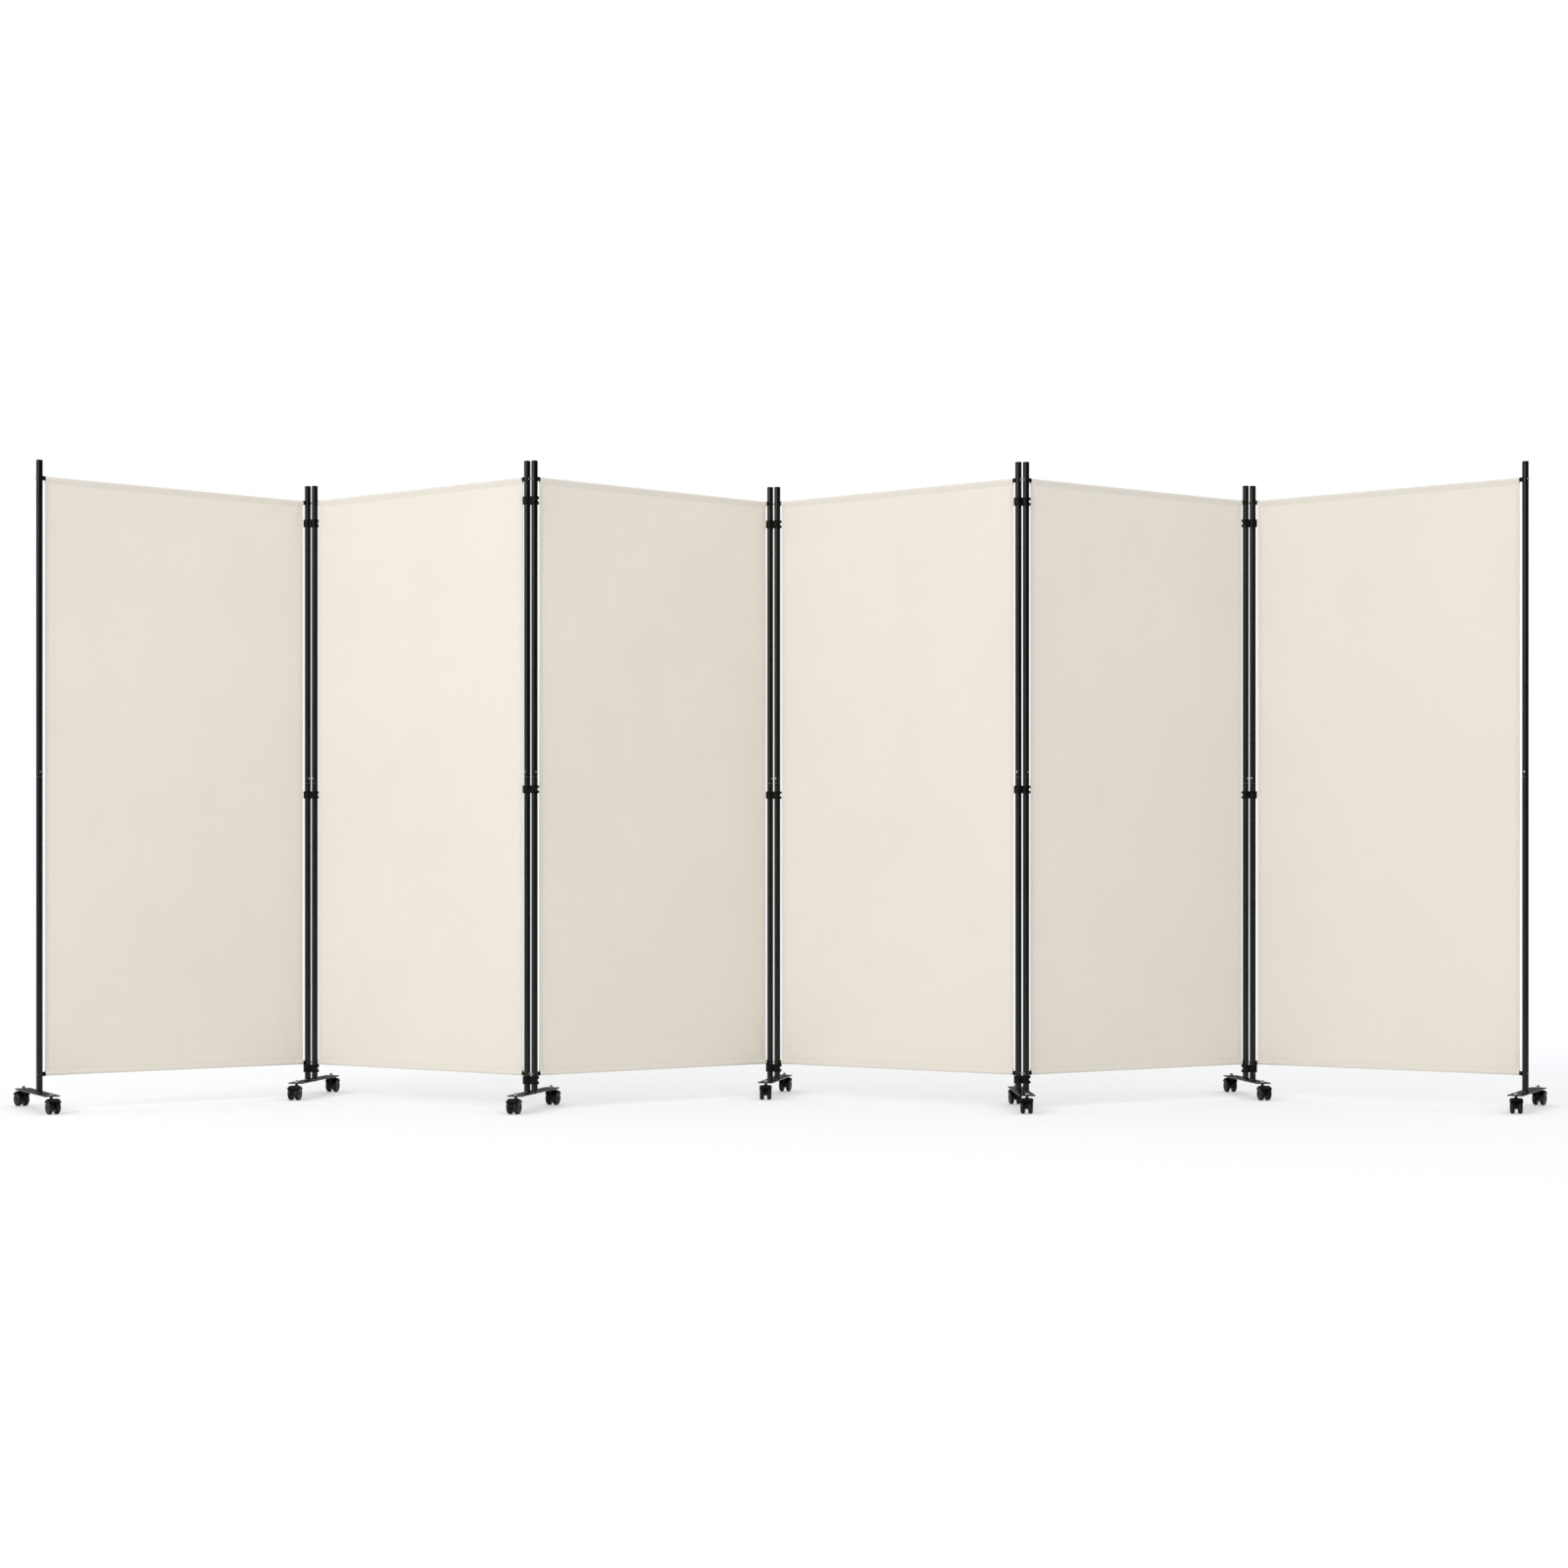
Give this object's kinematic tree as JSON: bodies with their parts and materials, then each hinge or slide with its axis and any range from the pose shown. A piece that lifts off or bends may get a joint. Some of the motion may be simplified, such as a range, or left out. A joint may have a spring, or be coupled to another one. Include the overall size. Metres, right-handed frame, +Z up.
{
  "type": "folding room divider",
  "caption": "Free-standing folding screen: taut fabric panels between round steel posts that turn in clips side by side, on flat foot plates with twin-wheel casters.",
  "frame": {"origin": "on the floor, under the middle of the screen as it stands in a zigzag", "axes": "+X along the screen from its left end to its right end, +Y away from the front towards the back, +Z up"},
  "size_m": [4.4684, 0.8829, 1.851],
  "materials": {
    "steel_black": "satin powder coat, near black",
    "plastic_black": "moulded, satin black",
    "wheel_black": "moulded wheels with a slight gloss",
    "cloth": "plain woven polyester, off-white, stretched taut",
    "zinc": "zinc-plated screws, nuts and stems"
  },
  "bodies": {
    "foot_4": {"foot_4_plate": "steel_black", "foot_4_clips": "plastic_black"},
    "foot_1": {"foot_1_plate": "steel_black"},
    "foot_2": {"foot_2_plate": "steel_black", "foot_2_clips": "plastic_black"},
    "foot_3": {"foot_3_plate": "steel_black", "foot_3_clips": "plastic_black"},
    "foot_5": {"foot_5_plate": "steel_black", "foot_5_clips": "plastic_black"},
    "foot_6": {"foot_6_plate": "steel_black", "foot_6_clips": "plastic_black"},
    "foot_7": {"foot_7_plate": "steel_black"},
    "panel_1": {"panel_1_frame": "steel_black", "panel_1_fabric": "cloth"},
    "panel_2": {"panel_2_frame": "steel_black", "panel_2_fabric": "cloth"},
    "panel_3": {"panel_3_frame": "steel_black", "panel_3_fabric": "cloth"},
    "panel_4": {"panel_4_frame": "steel_black", "panel_4_fabric": "cloth"},
    "panel_5": {"panel_5_frame": "steel_black", "panel_5_fabric": "cloth"},
    "panel_6": {"panel_6_frame": "steel_black", "panel_6_fabric": "cloth"},
    "swivel_1_front": {"caster_1_front_hood": "plastic_black"},
    "wheels_1_front": {"caster_1_front_wheels": "wheel_black"},
    "swivel_1_back": {"caster_1_back_hood": "plastic_black"},
    "wheels_1_back": {"caster_1_back_wheels": "wheel_black"},
    "brake_1": {"caster_1_brake": "plastic_black"},
    "swivel_2_front": {"caster_2_front_hood": "plastic_black"},
    "wheels_2_front": {"caster_2_front_wheels": "wheel_black"},
    "swivel_2_back": {"caster_2_back_hood": "plastic_black"},
    "wheels_2_back": {"caster_2_back_wheels": "wheel_black"},
    "brake_2": {"caster_2_brake": "plastic_black"},
    "swivel_3_front": {"caster_3_front_hood": "plastic_black"},
    "wheels_3_front": {"caster_3_front_wheels": "wheel_black"},
    "swivel_3_back": {"caster_3_back_hood": "plastic_black"},
    "wheels_3_back": {"caster_3_back_wheels": "wheel_black"},
    "brake_3": {"caster_3_brake": "plastic_black"},
    "swivel_4_front": {"caster_4_front_hood": "plastic_black"},
    "wheels_4_front": {"caster_4_front_wheels": "wheel_black"},
    "swivel_4_back": {"caster_4_back_hood": "plastic_black"},
    "wheels_4_back": {"caster_4_back_wheels": "wheel_black"},
    "brake_4": {"caster_4_brake": "plastic_black"},
    "swivel_5_front": {"caster_5_front_hood": "plastic_black"},
    "wheels_5_front": {"caster_5_front_wheels": "wheel_black"},
    "swivel_5_back": {"caster_5_back_hood": "plastic_black"},
    "wheels_5_back": {"caster_5_back_wheels": "wheel_black"},
    "brake_5": {"caster_5_brake": "plastic_black"},
    "swivel_6_front": {"caster_6_front_hood": "plastic_black"},
    "wheels_6_front": {"caster_6_front_wheels": "wheel_black"},
    "swivel_6_back": {"caster_6_back_hood": "plastic_black"},
    "wheels_6_back": {"caster_6_back_wheels": "wheel_black"},
    "brake_6": {"caster_6_brake": "plastic_black"},
    "swivel_7_front": {"caster_7_front_hood": "plastic_black"},
    "wheels_7_front": {"caster_7_front_wheels": "wheel_black"},
    "swivel_7_back": {"caster_7_back_hood": "plastic_black"},
    "wheels_7_back": {"caster_7_back_wheels": "wheel_black"},
    "brake_7": {"caster_7_brake": "plastic_black"}
  },
  "joints": [
    {"name": "hinge_4_left", "type": "hinge", "parent": "foot_4", "child": "panel_3", "pos_m": [-0.04047, 0.24181, 0], "axis": [0, 0, 1], "range_deg": [-136, 40]},
    {"name": "hinge_4_right", "type": "hinge", "parent": "foot_4", "child": "panel_4", "pos_m": [-0.01884, 0.2378, 0], "axis": [0, 0, -1], "range_deg": [-112.5, 63.5]},
    {"name": "hinge_3_right", "type": "hinge", "parent": "panel_3", "child": "foot_3", "pos_m": [-0.70927, -0.27138, 0], "axis": [0, 0, -1], "range_deg": [-139.5, 36.5]},
    {"name": "hinge_3_left", "type": "hinge", "parent": "foot_3", "child": "panel_2", "pos_m": [-0.73061, -0.26605, 0], "axis": [0, 0, -1], "range_deg": [-109, 67]},
    {"name": "hinge_2_right", "type": "hinge", "parent": "panel_2", "child": "foot_2", "pos_m": [-1.42116, 0.21747, 0], "axis": [0, 0, 1], "range_deg": [-113, 63]},
    {"name": "hinge_2_left", "type": "hinge", "parent": "foot_2", "child": "panel_1", "pos_m": [-1.44283, 0.22129, 0], "axis": [0, 0, 1], "range_deg": [-135, 41]},
    {"name": "hinge_5_left", "type": "hinge", "parent": "panel_4", "child": "foot_5", "pos_m": [0.67171, -0.24572, 0], "axis": [0, 0, 1], "range_deg": [-124, 52]},
    {"name": "hinge_5_right", "type": "hinge", "parent": "foot_5", "child": "panel_5", "pos_m": [0.6937, -0.24534, 0], "axis": [0, 0, 1], "range_deg": [-120, 56]},
    {"name": "hinge_6_left", "type": "hinge", "parent": "panel_5", "child": "foot_6", "pos_m": [1.4007, 0.21379, 0], "axis": [0, 0, -1], "range_deg": [-113, 63]},
    {"name": "hinge_6_right", "type": "hinge", "parent": "foot_6", "child": "panel_6", "pos_m": [1.42249, 0.21685, 0], "axis": [0, 0, -1], "range_deg": [-130.5, 45.5]},
    {"name": "end_turn_1", "type": "hinge", "parent": "panel_1", "child": "foot_1", "pos_m": [-2.11608, -0.28604, 0], "axis": [0, 0, 1], "range_deg": [-83, 97]},
    {"name": "end_turn_7", "type": "hinge", "parent": "panel_6", "child": "foot_7", "pos_m": [2.11723, -0.26063, 0], "axis": [0, 0, 1], "range_deg": [-97.5, 82.5]},
    {"name": "brake_1", "type": "hinge", "parent": "swivel_1_back", "child": "brake_1", "pos_m": [-2.21394, -0.12235, 0.046], "axis": [-0.7431, -0.6691, 0], "range_deg": [0, 12]},
    {"name": "brake_2", "type": "hinge", "parent": "swivel_2_back", "child": "brake_2", "pos_m": [-1.39835, 0.40739, 0.046], "axis": [-0.9781, 0.2079, 0], "range_deg": [0, 12]},
    {"name": "brake_3", "type": "hinge", "parent": "swivel_3_back", "child": "brake_3", "pos_m": [-0.67256, -0.08373, 0.046], "axis": [-0.9455, 0.3256, 0], "range_deg": [0, 12]},
    {"name": "brake_4", "type": "hinge", "parent": "swivel_4_back", "child": "brake_4", "pos_m": [0.00587, 0.42746, 0.046], "axis": [-0.9724, 0.2334, 0], "range_deg": [0, 12]},
    {"name": "brake_5", "type": "hinge", "parent": "swivel_5_back", "child": "brake_5", "pos_m": [0.67815, -0.05464, 0.046], "axis": [-0.9945, -0.1045, 0], "range_deg": [0, 12]},
    {"name": "brake_6", "type": "hinge", "parent": "swivel_6_back", "child": "brake_6", "pos_m": [1.38501, 0.40446, 0.046], "axis": [-0.9903, -0.1392, 0], "range_deg": [0, 12]},
    {"name": "brake_7", "type": "hinge", "parent": "swivel_7_back", "child": "brake_7", "pos_m": [2.20521, -0.09118, 0.046], "axis": [-0.8387, 0.5446, 0], "range_deg": [0, 12]},
    {"name": "swivel_1_front", "type": "hinge", "parent": "foot_1", "child": "swivel_1_front", "pos_m": [-2.05258, -0.39602, 0], "axis": [0, 0, 1], "continuous": true},
    {"name": "swivel_1_back", "type": "hinge", "parent": "foot_1", "child": "swivel_1_back", "pos_m": [-2.20458, -0.13275, 0], "axis": [0, 0, 1], "continuous": true},
    {"name": "swivel_2_front", "type": "hinge", "parent": "foot_2", "child": "swivel_2_front", "pos_m": [-1.45405, 0.09431, 0], "axis": [0, 0, 1], "continuous": true},
    {"name": "swivel_2_back", "type": "hinge", "parent": "foot_2", "child": "swivel_2_back", "pos_m": [-1.40126, 0.39369, 0], "axis": [0, 0, 1], "continuous": true},
    {"name": "swivel_3_front", "type": "hinge", "parent": "foot_3", "child": "swivel_3_front", "pos_m": [-0.75067, -0.39194, 0], "axis": [0, 0, 1], "continuous": true},
    {"name": "swivel_3_back", "type": "hinge", "parent": "foot_3", "child": "swivel_3_back", "pos_m": [-0.67712, -0.09697, 0], "axis": [0, 0, 1], "continuous": true},
    {"name": "swivel_4_front", "type": "hinge", "parent": "foot_4", "child": "swivel_4_front", "pos_m": [-0.0528, 0.11493, 0], "axis": [0, 0, 1], "continuous": true},
    {"name": "swivel_4_back", "type": "hinge", "parent": "foot_4", "child": "swivel_4_back", "pos_m": [0.0026, 0.41384, 0], "axis": [0, 0, 1], "continuous": true},
    {"name": "swivel_5_front", "type": "hinge", "parent": "foot_5", "child": "swivel_5_front", "pos_m": [0.68492, -0.37251, 0], "axis": [0, 0, 1], "continuous": true},
    {"name": "swivel_5_back", "type": "hinge", "parent": "foot_5", "child": "swivel_5_back", "pos_m": [0.67961, -0.06856, 0], "axis": [0, 0, 1], "continuous": true},
    {"name": "swivel_6_front", "type": "hinge", "parent": "foot_6", "child": "swivel_6_front", "pos_m": [1.42927, 0.08956, 0], "axis": [0, 0, 1], "continuous": true},
    {"name": "swivel_6_back", "type": "hinge", "parent": "foot_6", "child": "swivel_6_back", "pos_m": [1.38696, 0.3906, 0], "axis": [0, 0, 1], "continuous": true},
    {"name": "swivel_7_front", "type": "hinge", "parent": "foot_7", "child": "swivel_7_front", "pos_m": [2.05957, -0.37379, 0], "axis": [0, 0, 1], "continuous": true},
    {"name": "swivel_7_back", "type": "hinge", "parent": "foot_7", "child": "swivel_7_back", "pos_m": [2.19758, -0.10292, 0], "axis": [0, 0, 1], "continuous": true},
    {"name": "roll_1_front", "type": "hinge", "parent": "swivel_1_front", "child": "wheels_1_front", "pos_m": [-2.04493, -0.40654, 0.02], "axis": [0.809, 0.5878, 0], "continuous": true},
    {"name": "roll_1_back", "type": "hinge", "parent": "swivel_1_back", "child": "wheels_1_back", "pos_m": [-2.21327, -0.12309, 0.02], "axis": [-0.7431, -0.6691, 0], "continuous": true},
    {"name": "roll_2_front", "type": "hinge", "parent": "swivel_2_front", "child": "wheels_2_front", "pos_m": [-1.45675, 0.0816, 0.02], "axis": [0.9781, -0.2079, 0], "continuous": true},
    {"name": "roll_2_back", "type": "hinge", "parent": "swivel_2_back", "child": "wheels_2_back", "pos_m": [-1.39855, 0.40641, 0.02], "axis": [-0.9781, 0.2079, 0], "continuous": true},
    {"name": "roll_3_front", "type": "hinge", "parent": "swivel_3_front", "child": "wheels_3_front", "pos_m": [-0.75468, -0.40431, 0.02], "axis": [0.9511, -0.309, 0], "continuous": true},
    {"name": "roll_3_back", "type": "hinge", "parent": "swivel_3_back", "child": "wheels_3_back", "pos_m": [-0.67289, -0.08468, 0.02], "axis": [-0.9455, 0.3256, 0], "continuous": true},
    {"name": "roll_4_front", "type": "hinge", "parent": "swivel_4_front", "child": "wheels_4_front", "pos_m": [-0.05337, 0.10194, 0.02], "axis": [0.999, -0.0436, 0], "continuous": true},
    {"name": "roll_4_back", "type": "hinge", "parent": "swivel_4_back", "child": "wheels_4_back", "pos_m": [0.00563, 0.42648, 0.02], "axis": [-0.9724, 0.2334, 0], "continuous": true},
    {"name": "roll_5_front", "type": "hinge", "parent": "swivel_5_front", "child": "wheels_5_front", "pos_m": [0.68289, -0.38535, 0.02], "axis": [0.9877, -0.1564, 0], "continuous": true},
    {"name": "roll_5_back", "type": "hinge", "parent": "swivel_5_back", "child": "wheels_5_back", "pos_m": [0.67826, -0.05563, 0.02], "axis": [-0.9945, -0.1045, 0], "continuous": true},
    {"name": "roll_6_front", "type": "hinge", "parent": "swivel_6_front", "child": "wheels_6_front", "pos_m": [1.43219, 0.07689, 0.02], "axis": [0.9744, 0.225, 0], "continuous": true},
    {"name": "roll_6_back", "type": "hinge", "parent": "swivel_6_back", "child": "wheels_6_back", "pos_m": [1.38515, 0.40347, 0.02], "axis": [-0.9903, -0.1392, 0], "continuous": true},
    {"name": "roll_7_front", "type": "hinge", "parent": "swivel_7_front", "child": "wheels_7_front", "pos_m": [2.05687, -0.3865, 0.02], "axis": [0.9781, -0.2079, 0], "continuous": true},
    {"name": "roll_7_back", "type": "hinge", "parent": "swivel_7_back", "child": "wheels_7_back", "pos_m": [2.20466, -0.09202, 0.02], "axis": [-0.8387, 0.5446, 0], "continuous": true}
  ]
}
